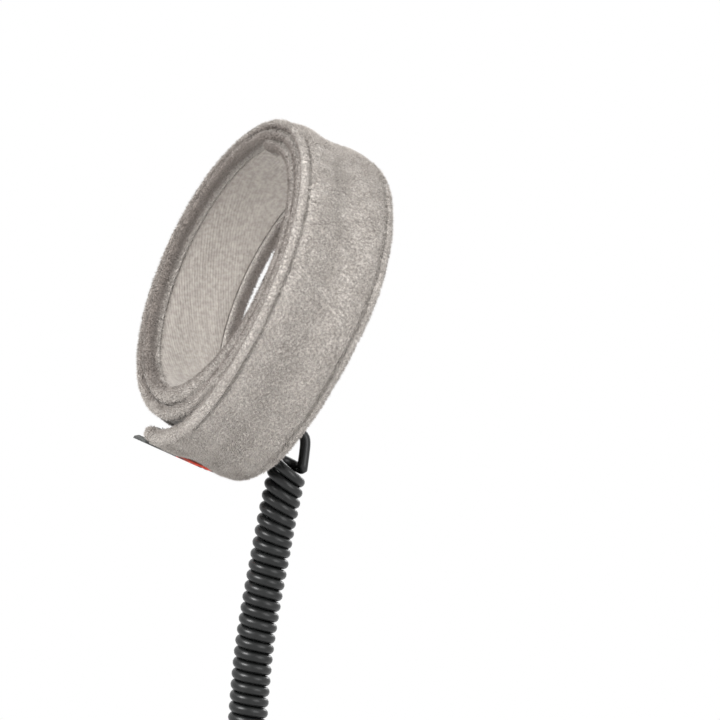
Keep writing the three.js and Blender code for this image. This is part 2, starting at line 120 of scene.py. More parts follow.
def curl_turns():
    """The wound stretch of the cord, round the line that its turns hang along."""
    axis = through(CURL_ROUTE, AXIS_POINTS)
    along = np.gradient(axis, axis=0)
    step = np.linalg.norm(along, axis=1)
    along /= step[:, None]
    travelled = np.cumsum(step) - step[0]
    tilt = TOP_TILT * np.clip(1 - travelled / TILTED_LENGTH, 0, 1) ** 0.7
    pitch = TURN_PITCH / np.cos(tilt) + FIRST_GAP * np.exp(-travelled / FIRST_GAP_FADES)
    phase = FIRST_PHASE + 2 * math.pi * np.cumsum(step / pitch)
    side = np.cross(-along, [0, 1, 0])
    side = -side / np.linalg.norm(side, axis=1)[:, None]
    side = np.where(side[:, :1] < 0, -side, side)
    rear = np.cross(-along, side)
    lean = np.tan(tilt) * np.cos(phase - VIEW_AZIMUTH)
    round_axis = np.cos(phase)[:, None] * side + np.sin(phase)[:, None] * rear
    turns = axis + TURN_RADIUS * (round_axis + lean[:, None] * along)
    last = travelled[-1] - CURL_STOPS_SHORT
    at = np.arange(phase[0], np.interp(last, travelled, phase), 2 * math.pi / POINTS_A_TURN)
    return np.stack([np.interp(at, phase, turns[:, k]) for k in range(3)], 1)


turns = curl_turns()
lead = through([*LEAD_ROUTE, turns[0]], LEAD_POINTS)[:-1]
leaving = turns[-1] - turns[-2]
leaving /= np.linalg.norm(leaving)
bend = turns[-1] + TAIL_SWING * leaving - np.array([0, 0, TAIL_DROP])
slope = 0.55 * bend + 0.45 * np.array(TAIL_ROUTE[0]) - np.array([0, 0, TAIL_SAG])
tail = through([turns[-1], bend, slope, *TAIL_ROUTE], TAIL_POINTS)[1:]
centreline = np.vstack([lead, turns, tail])

cord_line = bpy.data.curves.new("heater_cord", "CURVE")
cord_line.dimensions = "3D"
cord_line.bevel_depth = CORD_DIAMETER / 2
cord_line.bevel_resolution = 5
cord_line.use_fill_caps = True
spline = cord_line.splines.new("POLY")
spline.points.add(len(centreline) - 1)
spline.points.foreach_set("co", np.column_stack([centreline, np.ones(len(centreline))]).ravel())
spline.use_smooth = True
cord = bpy.data.objects.new("heater_cord", cord_line)
scene.collection.objects.link(cord)


def finish_of(name, roughness, metallic=0.0, **sockets):
    """A new material with its surface shader's fixed values, and that shader."""
    material = bpy.data.materials.new(name)
    material.use_nodes = True
    surface = material.node_tree.nodes["Principled BSDF"]
    surface.inputs["Roughness"].default_value = roughness
    surface.inputs["Metallic"].default_value = metallic
    for socket, value in sockets.items():
        surface.inputs[socket.replace("_", " ")].default_value = value
    return material, surface


def fill(tree, socket, value):
    """Sets an input of a node, or links it where the value is another node's output."""
    if isinstance(value, bpy.types.NodeSocket):
        tree.links.new(value, socket)
    else:
        socket.default_value = value


def add_to(tree, kind, settings=(), **inputs):
    """Adds a node to a tree, with its settings, and sets or links its inputs."""
    added = tree.nodes.new(kind)
    for key, value in dict(settings).items():
        setattr(added, key, value)
    for name, value in inputs.items():
        label = name.replace("_", " ")
        fill(tree, next(s for s in added.inputs if s.name == label and s.enabled), value)
    return added


def worked(tree, kind, operation, *values):
    """Adds a math node, fills its inputs in order and gives its result."""
    added = add_to(tree, kind, {"operation": operation})
    for socket, value in zip(added.inputs, values):
        fill(tree, socket, value)
    return added.outputs[0]


def node(material, kind, settings=(), **inputs):
    """Adds a node to a material."""
    return add_to(material.node_tree, kind, settings, **inputs)


def blended(material, share, a, b, way="MIX"):
    """Two colours mixed by a share."""
    ways = {"data_type": "RGBA", "blend_type": way}
    return node(material, "ShaderNodeMix", ways, Factor=share, A=a, B=b).outputs["Result"]


def marked(material, name):
    """What the piece's mesh says in one of its attributes."""
    return node(material, "ShaderNodeAttribute", {"attribute_name": name}).outputs["Fac"]


def coloured(material, surface, colour):
    """Gives the surface its colour from a socket."""
    material.node_tree.links.new(colour, surface.inputs["Base Color"])


def on_object(material):
    """The piece's own coordinates, in metres."""
    return node(material, "ShaderNodeTexCoord").outputs["Object"]


def mottled(material, place, colours, scale, detail=4.0, low=0.35, high=0.65):
    """A colour that wanders between two, in patches."""
    noise = node(material, "ShaderNodeTexNoise", Vector=place, Scale=scale, Detail=detail)
    ramp = node(material, "ShaderNodeValToRGB", Fac=noise.outputs["Fac"])
    for stop, at, colour in zip(ramp.color_ramp.elements, (low, high), colours):
        stop.position = at
        stop.color = (*colour, 1)
    return ramp.outputs["Color"]


def roughened(material, surface, height, strength, depth):
    """Bump on the surface from a height."""
    bump = node(material, "ShaderNodeBump", Height=height, Strength=strength, Distance=depth)
    material.node_tree.links.new(bump.outputs["Normal"], surface.inputs["Normal"])


def black_rubber(name, light, dark, roughness, grain):
    """Moulded or extruded black rubber: faint bloom, and a fine grain."""
    material, surface = finish_of(name, roughness, Specular_IOR_Level=0.35)
    place = on_object(material)
    coloured(material, surface, mottled(material, place, (dark, light), 260))
    fine = node(material, "ShaderNodeTexNoise", Vector=place, Scale=grain, Detail=3.0)
    roughened(material, surface, fine.outputs["Fac"], 0.25, 0.00006)
    return material


cord.data.materials.append(
    black_rubber(
        "cord_jacket_rubber", (0.010, 0.0105, 0.0105), (0.005, 0.0055, 0.0055), 0.36, 2600
    )
)
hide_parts("cord_lead", "curly_cord", "cord_tail")
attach(cord, "root")


# The plug: a phono plug. A ribbed sleeve and the grip are moulded round the cord in one shot;
# below them sit the slotted nickel-plated contact ring, its insulator and the pin.
PLUG_AT = Vector((0.0088, -0.0089, 0))
SLEEVE_TOP, SLEEVE_FOOT, GRIP_FOOT, CONTACT_TOP = -0.2267, -0.2397, -0.2597, -0.2600
SLEEVE_RIBS, SLEEVE_RADIUS, SLEEVE_TAPER, SLEEVE_RIB_DEPTH = 5, 0.0034, 0.0009, 0.0006
GRIP_RADIUS = 0.0050
GRIP_GROOVES, GRIP_GROOVE_PITCH, GRIP_GROOVE_DEPTH = 6, 0.0019, 0.0004
RING_RADIUS, RING_WALL, RING_LENGTH = 0.0045, 0.0006, 0.0080
RING_SLOT, RING_SLOT_LENGTH = 0.0008, 0.0055
PIN_RADIUS, PIN_LENGTH = 0.0016, 0.0150


def new_piece(name, mesh, material, slot, *stands_for):
    """Puts a finished mesh in the scene as a piece of the object."""
    piece = bpy.data.objects.new(name, mesh)
    scene.collection.objects.link(piece)
    mesh.materials.clear()
    mesh.materials.append(material)
    if stands_for:
        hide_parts(*stands_for)
    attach(piece, "root")
    return piece


def mesh_of(name, made, smooth_below=40):
    """A mesh from a bmesh, with outward faces and smooth shading across shallow edges."""
    bmesh.ops.recalc_face_normals(made, faces=made.faces)
    for edge in made.edges:
        edge.smooth = edge.is_manifold and edge.calc_face_angle(0) < math.radians(smooth_below)
    for face in made.faces:
        face.smooth = True
    mesh = bpy.data.meshes.new(name)
    made.to_mesh(mesh)
    made.free()
    return mesh


def lathed(profile, sides=64, closed=False):
    """A bmesh turned about Z from [radius, height] corners, on the axis at both ends or closed."""
    made = bmesh.new()
    corners = [made.verts.new((radius, 0, height)) for radius, height in profile]
    ahead = corners[1:] + corners[:1] if closed else corners[1:]
    edges = [made.edges.new(pair) for pair in zip(corners, ahead)]
    bmesh.ops.spin(
        made, geom=corners + edges, axis=(0, 0, 1), cent=(0, 0, 0), steps=sides, angle=2 * math.pi
    )
    bmesh.ops.remove_doubles(made, verts=made.verts, dist=1e-7)
    return made


def rounded(profile, radius):
    """The same profile with each sharp corner off the axis cut by a small round."""
    out = [profile[0]]
    for before, corner, after in zip(profile, profile[1:], profile[2:]):
        a, b, c = Vector(before), Vector(corner), Vector(after)
        size = min(radius, (a - b).length / 2.2, (c - b).length / 2.2)
        start, stop = b + (a - b).normalized() * size, b + (c - b).normalized() * size
        for share in (0, 0.25, 0.5, 0.75, 1):
            out.append(start.lerp(b, share).lerp(b.lerp(stop, share), share)[:])
    return [*out, profile[-1]]


sleeve = []
rib_pitch = (SLEEVE_TOP - SLEEVE_FOOT) / SLEEVE_RIBS
for rib in range(SLEEVE_RIBS):
    foot = SLEEVE_FOOT + rib * rib_pitch
    crest = SLEEVE_RADIUS - SLEEVE_TAPER * rib / (SLEEVE_RIBS - 1)
    valley = crest - SLEEVE_RIB_DEPTH
    sleeve += [(valley, foot), (valley, foot + 0.35 * rib_pitch)]
    sleeve += [(crest, foot + 0.45 * rib_pitch), (crest, foot + rib_pitch)]
groove_floor = GRIP_RADIUS - GRIP_GROOVE_DEPTH
grip = [
    (0, GRIP_FOOT), (GRIP_RADIUS - 0.0003, GRIP_FOOT), (GRIP_RADIUS, GRIP_FOOT + 0.0006),
    (GRIP_RADIUS, GRIP_FOOT + 0.0030), (groove_floor, GRIP_FOOT + 0.0034),
]
for groove in range(GRIP_GROOVES):
    foot = GRIP_FOOT + 0.0045 + groove * GRIP_GROOVE_PITCH
    grip += [(groove_floor, foot), (GRIP_RADIUS, foot + 0.0003)]
    grip += [(GRIP_RADIUS, foot + 0.0011), (groove_floor, foot + 0.0014)]
grip += [
    (groove_floor, SLEEVE_FOOT - 0.0032), (GRIP_RADIUS, SLEEVE_FOOT - 0.0028),
    (GRIP_RADIUS, SLEEVE_FOOT - 0.0009), (GRIP_RADIUS - 0.0009, SLEEVE_FOOT),
]
grip_mesh = lathed(rounded([*grip, *sleeve, (0, SLEEVE_TOP)], 0.00022))
bmesh.ops.translate(grip_mesh, verts=grip_mesh.verts, vec=PLUG_AT)
plug_grip = new_piece(
    "plug_grip", mesh_of("plug_grip", grip_mesh),
    black_rubber("plug_grip_rubber", (0.024, 0.024, 0.025), (0.014, 0.014, 0.015), 0.55, 1800),
    "plug_rubber", "plug_body",
)


def bright_plate(name, colour, roughness):
    """Plated metal with faint drawing lines round it."""
    material, surface = finish_of(name, roughness, metallic=1.0)
    place = on_object(material)
    stretched = node(material, "ShaderNodeMapping", Vector=place, Scale=(80, 80, 6000))
    lines = node(material, "ShaderNodeTexNoise", Vector=stretched.outputs["Vector"], Scale=1.0)
    tarnish = mottled(material, place, ([0.86 * c for c in colour], colour), 500)
    coloured(material, surface, tarnish)
    roughened(material, surface, lines.outputs["Fac"], 0.15, 0.00003)
    return material


nickel = bright_plate("nickel_plate", (0.66, 0.64, 0.60), 0.24)
ring_foot = CONTACT_TOP - RING_LENGTH


def combined(name, made, others, operation):
    """One closed mesh from several, by booleans."""
    shown = [bpy.data.objects.new(name, mesh_of(name, each)) for each in (made, *others)]
    for each in shown:
        scene.collection.objects.link(each)
    for other in shown[1:]:
        step = shown[0].modifiers.new(other.name, "BOOLEAN")
        step.operation = operation
        step.object = other
    graph = bpy.context.evaluated_depsgraph_get()
    result = bpy.data.meshes.new_from_object(shown[0].evaluated_get(graph))
    for each in shown:
        bpy.data.objects.remove(each)
    return result


ring_inside = RING_RADIUS - RING_WALL
contact_tube = lathed(
    rounded(
        [
            (ring_inside, CONTACT_TOP), (ring_inside, ring_foot),
            (RING_RADIUS - 0.0001, ring_foot), (RING_RADIUS, ring_foot + 0.0012),
            (RING_RADIUS, CONTACT_TOP), (ring_inside, CONTACT_TOP),
        ],
        0.00008,
    )[:-1],
    72, closed=True,
)
slots = []
for quarter in range(2):
    slot_size = Matrix.Diagonal((RING_SLOT, 4 * RING_RADIUS, 2 * RING_SLOT_LENGTH, 1))
    slot_turn = Matrix.Rotation(quarter * math.pi / 2, 4, "Z")
    slot_place = Matrix.Translation((0, 0, ring_foot)) @ slot_turn
    slots.append(bmesh.new())
    bmesh.ops.create_cube(slots[-1], size=1, matrix=slot_place @ slot_size)
ring_cut = combined("contact_ring", contact_tube, slots, "DIFFERENCE")
ring_cut.transform(Matrix.Translation(PLUG_AT))
plug_ring = new_piece("plug_contact_ring", ring_cut, nickel, "plug_metal", "plug_shell")

pin = lathed(
    rounded(
        [
            (0, CONTACT_TOP - PIN_LENGTH), (PIN_RADIUS * 0.45, CONTACT_TOP - PIN_LENGTH),
            (PIN_RADIUS, CONTACT_TOP - PIN_LENGTH + PIN_RADIUS), (PIN_RADIUS, CONTACT_TOP),
            (0, CONTACT_TOP),
        ],
        0.0006,
    ),
    40,
)
bmesh.ops.translate(pin, verts=pin.verts, vec=PLUG_AT)
plug_pin = new_piece(
    "plug_contact_pin", mesh_of("plug_contact_pin", pin), nickel, "plug_metal", "plug_pin"
)


def moulded_plastic(name, colour, roughness):
    """Plain moulded plastic with a slight sink and flow in its colour."""
    material, surface = finish_of(name, roughness)
    place = on_object(material)
    shade = mottled(material, place, ([0.85 * c for c in colour], colour), 300)
    coloured(material, surface, shade)
    fine = node(material, "ShaderNodeTexNoise", Vector=place, Scale=1500.0)
    roughened(material, surface, fine.outputs["Fac"], 0.1, 0.00004)
    return material


def dress(name, material):
    """Gives a CAD node that stays in the scene its finish."""
    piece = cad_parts[name]
    piece.data.materials.clear()
    piece.data.materials.append(material)


dress("plug_insulator", moulded_plastic("insulator_plastic", (0.78, 0.76, 0.70), 0.45))


# The strap: a long flat tube of fleece over wadding, turned and topstitched along both edges,
# and wound on itself. Each turn lies on the one inside it, pressed thin over the top and slack
# underneath, where the outer end stands off a little.
OPENING_PITCH = math.radians(23)
OPENING_RADIUS = 42.0
WOUND, START_CLOCK = 910.0, 187.0 - 910.0
HALF_WIDTH, THICKNESS = 16.5, 4.4
TOP_SEAM, STITCH_ENDS = 13.7, 877.0
POCKET_FLOOR = -1.4
RING_STEP = 1.5
MM = 0.001

# Where the roll departs from a plain spiral: clocks and windings in degrees, the rest in
# millimetres or as shares of the thickness.
TOP_LOFT, SLACK_CLOCK, SLACK_SPREAD = 0.75, 145, 65
STEP_OUT_FROM, LAYER_GAP = 0.63, 0.3
SAG, SAG_CLOCK, SAG_SPREAD = 3.3, 159, 30
SPRING_OFF, SPRING_OVER = 2.2, 30
FLARE, FLARE_CLOCK, FLARE_SPREAD, FLARE_FROM, FLARE_FULL = (0.7, 1.9, 0.5), 82, 36, 400, 560
END_ROUND, END_SPAN, START_THIN, END_THIN = 2.2, 3.2, 0.45, 0.72
LOOSE_CLOCK, LOOSE_SPREAD = 150, 27
OUTER_TURN_FROM, INNER_TURN_TO = 541, 352
TAB_DENT, TAB_DENT_WINDS, TAB_DENT_MIDDLE = 0.55, (WOUND - 10, WOUND - 4), -2
PUFF, PUFF_CLOCK, PUFF_SPREAD = 0.85, 172, 27
PILE_FACE, PILE_EDGE, PILE_LIP = 14.4, 13.9, 11.4
# Painted shade: the dark colour, and how strongly it is mixed into the fleece where the mesh marks
# shade.
PAINTED_SHADE_COLOUR, PAINTED_SHADE_STRENGTH = (0.15, 0.122, 0.105), 0.75


def bulge(wind, middle, spread):
    """A smooth swell, 1 at its middle clock, for places on the strap given by their winding."""
    away = (START_CLOCK + wind - middle + 180) % 360 - 180
    return np.exp(-((away / spread) ** 2))


def eased(value, low, high):
    """A smooth step from 0 at the low value to 1 at the high one."""
    share = np.clip((value - low) / (high - low), 0, 1)
    return share * share * (3 - 2 * share)


def loft(wind):
    """The share of its full thickness that the strap keeps: it is pulled thin over the top."""
    return TOP_LOFT + (1 - TOP_LOFT) * bulge(wind, SLACK_CLOCK, SLACK_SPREAD)


def middle_radius(wind):
    """The radius of the strap's middle layer, in millimetres."""
    thickness = THICKNESS * loft(wind)
    turn = np.floor(wind / 360)
    inside = turn + eased(wind / 360 - turn, STEP_OUT_FROM, 1)
    pitch = thickness + LAYER_GAP + SAG * bulge(wind, SAG_CLOCK, SAG_SPREAD)
    spring = SPRING_OFF * eased(wind, WOUND - SPRING_OVER, WOUND)
    return OPENING_RADIUS + thickness / 2 + inside * pitch + spring


def strap_points(wind, across, out):
    """Points in metres, from degrees of winding and millimetres across and outwards."""
    radius = middle_radius(wind) + out * loft(wind)
    share = across / HALF_WIDTH
    flare = FLARE[0] + FLARE[1] * share + FLARE[2] * share**2
    flared = bulge(wind, FLARE_CLOCK, FLARE_SPREAD) * eased(wind, FLARE_FROM, FLARE_FULL)
    radius = radius + flare * flared
    clock = np.radians(START_CLOCK + wind)
    x, zl = radius * np.sin(clock), radius * np.cos(clock)
    y = across * math.cos(OPENING_PITCH) + zl * math.sin(OPENING_PITCH)
    z = zl * math.cos(OPENING_PITCH) - across * math.sin(OPENING_PITCH)
    return np.stack([x, y, z], -1) * MM


def degrees_for(length, wind):
    """How many degrees of winding a length in millimetres takes up at a place on the strap."""
    return math.degrees(length / float(middle_radius(np.array(wind))))


PRESSED_EDGE = [
    (-11.5, -2.15), (-12.4, -2.20), (-13.1, -1.95), (-13.7, -1.70), (-14.4, -1.70), (-15.3, -1.50),
    (-16.2, -0.85), (-16.5, 0.05), (-16.2, 1.00), (-15.4, 1.60), (-14.5, 1.55), (-13.9, 1.20),
    (-13.5, 1.20), (-13.0, 1.75), (-11.5, 2.35),
]
LOOSE_EDGE = [
    (-11.5, -2.15), (-12.4, -2.20), (-13.1, -2.10), (-13.7, -1.95), (-14.4, -2.15), (-15.4, -2.05),
    (-16.25, -1.20), (-16.5, 0.00), (-16.25, 1.30), (-15.4, 2.15), (-14.5, 2.30), (-13.9, 1.75),
    (-13.5, 1.75), (-13.0, 2.25), (-11.5, 2.65),
]
CROWNS = [
    (-9.5, 2.65), (-7.0, 2.55), (-4.0, 2.00), (-1.5, 1.50), (0.5, 1.40), (3.0, 1.70), (6.0, 2.30),
    (9.0, 2.65),
]
POCKET = [
    (11.5, POCKET_FLOOR), (14.6, POCKET_FLOOR), (14.6, 0.7), (-14.6, 0.7), (-14.6, POCKET_FLOOR),
    (-11.5, POCKET_FLOOR),
]


def outline(edge):
    """The strap's outside from lip to lip, with finer corners than its control points."""
    rear = [(-across, out) for across, out in reversed(edge)]
    return curve_through([*edge, *CROWNS, *rear], (0, 0.5))


pressed, loose = outline(PRESSED_EDGE), outline(LOOSE_EDGE)
unstitched = loose.copy()
near_groove = np.abs(np.abs(unstitched[:, 0]) - TOP_SEAM) < 0.9
unstitched[near_groove & (unstitched[:, 1] > 0), 1] = 2.42
unstitched[near_groove & (unstitched[:, 1] < 0), 1] = -2.2

winds = np.arange(RING_STEP, WOUND, RING_STEP)
ends_in = np.array([0, 0.04, 0.14, 0.3, 0.55, 0.8])
winds = np.concatenate([
    ends_in * degrees_for(END_ROUND, 0.0), winds[(winds > END_SPAN) & (winds < WOUND - END_SPAN)],
    (WOUND - ends_in * degrees_for(END_ROUND, WOUND))[::-1],
])
to_end = np.radians(np.minimum(winds, WOUND - winds)) * middle_radius(winds)
thin = np.sqrt(np.clip(to_end / 2.6, 0, 1))
end_thin = np.where(winds < WOUND / 2, START_THIN, END_THIN)
thin = end_thin + (1 - end_thin) * thin
looseness = bulge(winds, LOOSE_CLOCK, LOOSE_SPREAD)[:, None, None]
sections = pressed + (loose - pressed) * looseness
free = eased(winds, STITCH_ENDS - 1.2, STITCH_ENDS + 1.2)[:, None, None]
sections = sections + (unstitched - sections) * free
open_pocket = np.clip((to_end - 4) / 1.5, 0.04, 1)[:, None]
pocket = np.repeat(np.array(POCKET)[None], len(winds), 0)
pocket[:, :, 1] = POCKET_FLOOR + (pocket[:, :, 1] - POCKET_FLOOR) * open_pocket
sections = np.concatenate([sections, pocket], 1)
sections = sections * np.stack([(1 + thin) / 2, thin], -1)[:, None, :]


def soft_lumps(wind, across):
    """Slow swells of the wadding, in millimetres."""
    a = np.sin(wind * 0.113 + across * 0.21) * np.sin(across * 0.37 + wind * 0.051)
    b = np.sin(wind * 0.29 - across * 0.33 + 1.7) * np.cos(across * 0.19 + 0.4)
    return 0.11 * a + 0.07 * b


wind_grid = np.repeat(winds[:, None], sections.shape[1], 1)
across_grid, out_grid = sections[..., 0], sections[..., 1]
outside = np.zeros(sections.shape[1])
outside[: len(pressed)] = 1
under_tab = TAB_DENT * eased(wind_grid, *TAB_DENT_WINDS)
under_tab = under_tab * (1 - eased(np.abs(across_grid - TAB_DENT_MIDDLE), 10.5, 13.5))
puffed = PUFF * bulge(wind_grid, PUFF_CLOCK, PUFF_SPREAD)
puffed = puffed * (wind_grid < 360) * eased(-across_grid, 8, 13)
out_grid = out_grid * np.where(out_grid > 0, 1 - under_tab + puffed, 1)
out_grid = out_grid + soft_lumps(wind_grid, across_grid) * outside * (out_grid > 0.3)
strap_verts = strap_points(wind_grid, across_grid, out_grid)


def store(mesh, name, values, kind="FLOAT", field="value"):
    """Keeps a number or a direction for each of a mesh's points."""
    data = mesh.attributes.new(name, kind, "POINT").data
    data.foreach_set(field, np.asarray(values, np.float32).ravel())


def tube_mesh(name, rings):
    """A closed mesh from rings of points, with flat ends."""
    count, corners = rings.shape[:2]
    ring, side = np.meshgrid(np.arange(count - 1), np.arange(corners), indexing="ij")
    here, beside = ring * corners + side, ring * corners + (side + 1) % corners
    quads = np.stack([here, beside, beside + corners, here + corners], -1).reshape(-1, 4)
    faces = [*quads.tolist(), list(range(corners))[::-1]]
    faces.append(list(range((count - 1) * corners, count * corners)))
    mesh = bpy.data.meshes.new(name)
    mesh.from_pydata(rings.reshape(-1, 3).tolist(), [], faces)
    made = bmesh.new()
    made.from_mesh(mesh)
    bmesh.ops.recalc_face_normals(made, faces=made.faces)
    made.to_mesh(mesh)
    made.free()
    mesh.shade_smooth()
    return mesh


strap_mesh = tube_mesh("fleece_strap", strap_verts)
from_middle = np.abs(across_grid)
exposed_face = (winds > OUTER_TURN_FROM)[:, None] & (from_middle < PILE_FACE) & (out_grid > 0)
exposed_edge = (from_middle >= PILE_EDGE) | (to_end[:, None] < 4)
inside_lip = (winds < INNER_TURN_TO)[:, None] & (out_grid < 0) & (from_middle > PILE_LIP)
for name, mask in (("face_pile", exposed_face), ("edge_pile", exposed_edge | inside_lip)):
    store(strap_mesh, name, mask & (outside > 0))
# Painted shade: the fleece is darkened on the under side of each rolled edge, over more of the edge
# on the inner turns, and less where the first turn puffs out.
inner_turn_shade = 1 - eased(wind_grid, 500, 560)
painted_shade = eased(-out_grid, -0.9 - 1.3 * inner_turn_shade, 1.3 - 0.8 * inner_turn_shade)
painted_shade *= eased(from_middle, 11.5, 14.5) * (1 - 0.6 * bulge(wind_grid, 165, 32))
store(strap_mesh, "painted_shade", painted_shade)


def with_painted_shade(material, colour, shade):
    """Mixes in painted shade, a darker colour, where the mesh marks it: the under side of the
    rolled edges and the inner turns.
    """
    share = worked(
        material.node_tree, "ShaderNodeMath", "MULTIPLY", marked(material, "painted_shade"), PAINTED_SHADE_STRENGTH
    )
    return blended(material, share, colour, (*shade, 1))


def fleece(name, dark, light, roughness=1.0, painted_shade=(0.2, 0.2, 0.2)):
    """Short-napped fleece: brushed patches and a fine grain, with painted shade mixed in where the
    mesh marks it.
    """
    material, surface = finish_of(name, roughness, Sheen_Weight=0.35, Sheen_Roughness=0.5)
    place = on_object(material)
    patches = mottled(material, place, (dark, light), 190, detail=6.0, low=0.25, high=0.75)
    grain = mottled(material, place, ((0.62, 0.62, 0.62), (1.2, 1.2, 1.2)), 1300, detail=2.0)
    brushed = blended(material, 1.0, patches, grain, "MULTIPLY")
    coloured(material, surface, with_painted_shade(material, brushed, painted_shade))
    nap = node(material, "ShaderNodeTexNoise", Vector=place, Scale=1400.0, Detail=4.0)
    roughened(material, surface, nap.outputs["Fac"], 0.6, 0.0004)
    return material


# The ground's colours are set darker than the pile's tips: painted shade at the root of the pile.
fleece_ground = fleece(
    "fleece_ground", (0.43, 0.395, 0.363), (0.52, 0.485, 0.45), painted_shade=PAINTED_SHADE_COLOUR
)
strap = new_piece("fleece_strap", strap_mesh, fleece_ground, "fleece", "outer_cover")


# The pile: the brushed surface of the fleece, short fibres that lean in drifting patches.
# It stands on the face that shows and on the rolled edges of every turn.
FIBRE_LENGTH, FIBRE_WIDTH = 0.0010, 0.00019
FACE_DENSITY, EDGE_DENSITY, QUICK_SHARE = 13.5e6, 15.0e6, 0.15
FIBRE_LEAN, FIBRE_STRAY = 3.2, 0.55


def tree_with(name, inputs):
    """An empty geometry tree with a mesh going in and out, and its named inputs."""
    tree = bpy.data.node_groups.new(name, "GeometryNodeTree")
    tree.interface.new_socket("Geometry", in_out="INPUT", socket_type="NodeSocketGeometry")
    tree.interface.new_socket("Geometry", in_out="OUTPUT", socket_type="NodeSocketGeometry")
    for label, kind in inputs:
        tree.interface.new_socket(label, in_out="INPUT", socket_type="NodeSocket" + kind)
    start, end = tree.nodes.new("NodeGroupInput"), tree.nodes.new("NodeGroupOutput")
    return tree, start, end


def first(outputs):
    """The output in use, where a node has one for each type of data."""
    return next(s for s in outputs if s.enabled)


def grown(name, carrier, tree, **values):
    """The plain mesh that a tree makes from a carrier object."""
    modifier = carrier.modifiers.new(tree.name, "NODES")
    modifier.node_group = tree
    sockets = {s.name: s.identifier for s in tree.interface.items_tree if s.in_out == "INPUT"}
    for label, value in values.items():
        modifier[sockets[label.replace("_", " ")]] = value
    bpy.context.view_layer.update()
    graph = bpy.context.evaluated_depsgraph_get()
    mesh = bpy.data.meshes.new_from_object(carrier.evaluated_get(graph))
    mesh.name = name
    carrier.modifiers.remove(modifier)
    return mesh


def made_real(tree, placed, start, end):
    """Ends a tree: its copies become one plain mesh in the finish that was asked for."""
    real = add_to(tree, "GeometryNodeRealizeInstances", Geometry=placed)
    finished = add_to(
        tree, "GeometryNodeSetMaterial", Geometry=real.outputs[0], Material=start.outputs["Finish"]
    )
    tree.links.new(finished.outputs[0], end.inputs[0])
    return tree


def pile_tree():
    """Fibres on the carrier's faces, where its mask attribute is 1."""
    tree, start, end = tree_with(
        "pile", [("Fibre", "Object"), ("Mask", "String"), ("Density", "Float"), ("Seed", "Int"),
                 ("Finish", "Material")],
    )
    given = start.outputs

    def drawn(kind, low, high, seed):
        """A random value for each fibre."""
        chance = add_to(
            tree, "FunctionNodeRandomValue", {"data_type": kind}, Min=low, Max=high, Seed=seed
        )
        return first(chance.outputs)

    mask = add_to(
        tree, "GeometryNodeInputNamedAttribute", {"data_type": "FLOAT"}, Name=given["Mask"]
    )
    density = worked(
        tree, "ShaderNodeMath", "MULTIPLY", mask.outputs["Attribute"], given["Density"]
    )
    spread = add_to(
        tree, "GeometryNodeDistributePointsOnFaces", Mesh=given["Geometry"], Density=density,
        Seed=given["Seed"],
    )
    place = add_to(tree, "GeometryNodeInputPosition").outputs[0]
    drift = add_to(tree, "ShaderNodeTexNoise", Vector=place, Scale=170.0, Detail=3.0)
    centred = worked(
        tree, "ShaderNodeVectorMath", "SUBTRACT", drift.outputs["Color"], (0.5, 0.5, 0.62)
    )
    lean = add_to(
        tree, "ShaderNodeVectorMath", {"operation": "SCALE"}, Vector=centred, Scale=FIBRE_LEAN
    )
    stray = drawn("FLOAT_VECTOR", (-FIBRE_STRAY,) * 3, (FIBRE_STRAY,) * 3, 7)
    leaning = worked(tree, "ShaderNodeVectorMath", "ADD", lean.outputs[0], stray)
    heading = worked(tree, "ShaderNodeVectorMath", "ADD", spread.outputs["Normal"], leaning)
    upright = add_to(tree, "FunctionNodeAlignRotationToVector", {"axis": "Z"}, Vector=heading)
    about = add_to(tree, "FunctionNodeAxisAngleToRotation", Angle=drawn("FLOAT", 0.0, 6.28, 3))
    rotation = add_to(
        tree, "FunctionNodeRotateRotation", {"rotation_space": "LOCAL"},
        Rotation=upright.outputs[0], Rotate_By=about.outputs[0],
    )
    fibre = add_to(tree, "GeometryNodeObjectInfo", Object=given["Fibre"])
    placed = add_to(
        tree, "GeometryNodeInstanceOnPoints", Points=spread.outputs["Points"],
        Instance=fibre.outputs["Geometry"], Rotation=rotation.outputs[0],
        Scale=drawn("FLOAT", 0.55, 1.1, 5),
    )
    toned = add_to(
        tree, "GeometryNodeStoreNamedAttribute", {"data_type": "FLOAT", "domain": "INSTANCE"},
        Geometry=placed.outputs[0], Name="tone", Value=drawn("FLOAT", 0.6, 1.28, 9),
    )
    return made_real(tree, toned.outputs[0], start, end)


def pile_finish():
    """The fibres' finish: painted shade at the root, blending to the paler colour of the tip, and
    more painted shade where the mesh marks it.
    """
    material, surface = finish_of("fleece_pile", 0.95, Sheen_Weight=0.3, Sheen_Roughness=0.5)
    tips = ((0.53, 0.490, 0.455), (0.66, 0.622, 0.585))
    patches = mottled(material, on_object(material), tips, 190, detail=5.0, low=0.25, high=0.75)
    toned = node(
        material, "ShaderNodeVectorMath", {"operation": "SCALE"}, Vector=patches,
        Scale=marked(material, "tone"),
    )
    # Painted shade: the fibre's colour darkens from the tip down to this root colour, for the shade
    # deep in the pile.
    root = (0.30, 0.272, 0.248, 1)
    shade = blended(material, marked(material, "tip"), root, toned.outputs[0])
    coloured(material, surface, with_painted_shade(material, shade, PAINTED_SHADE_COLOUR))
    return material


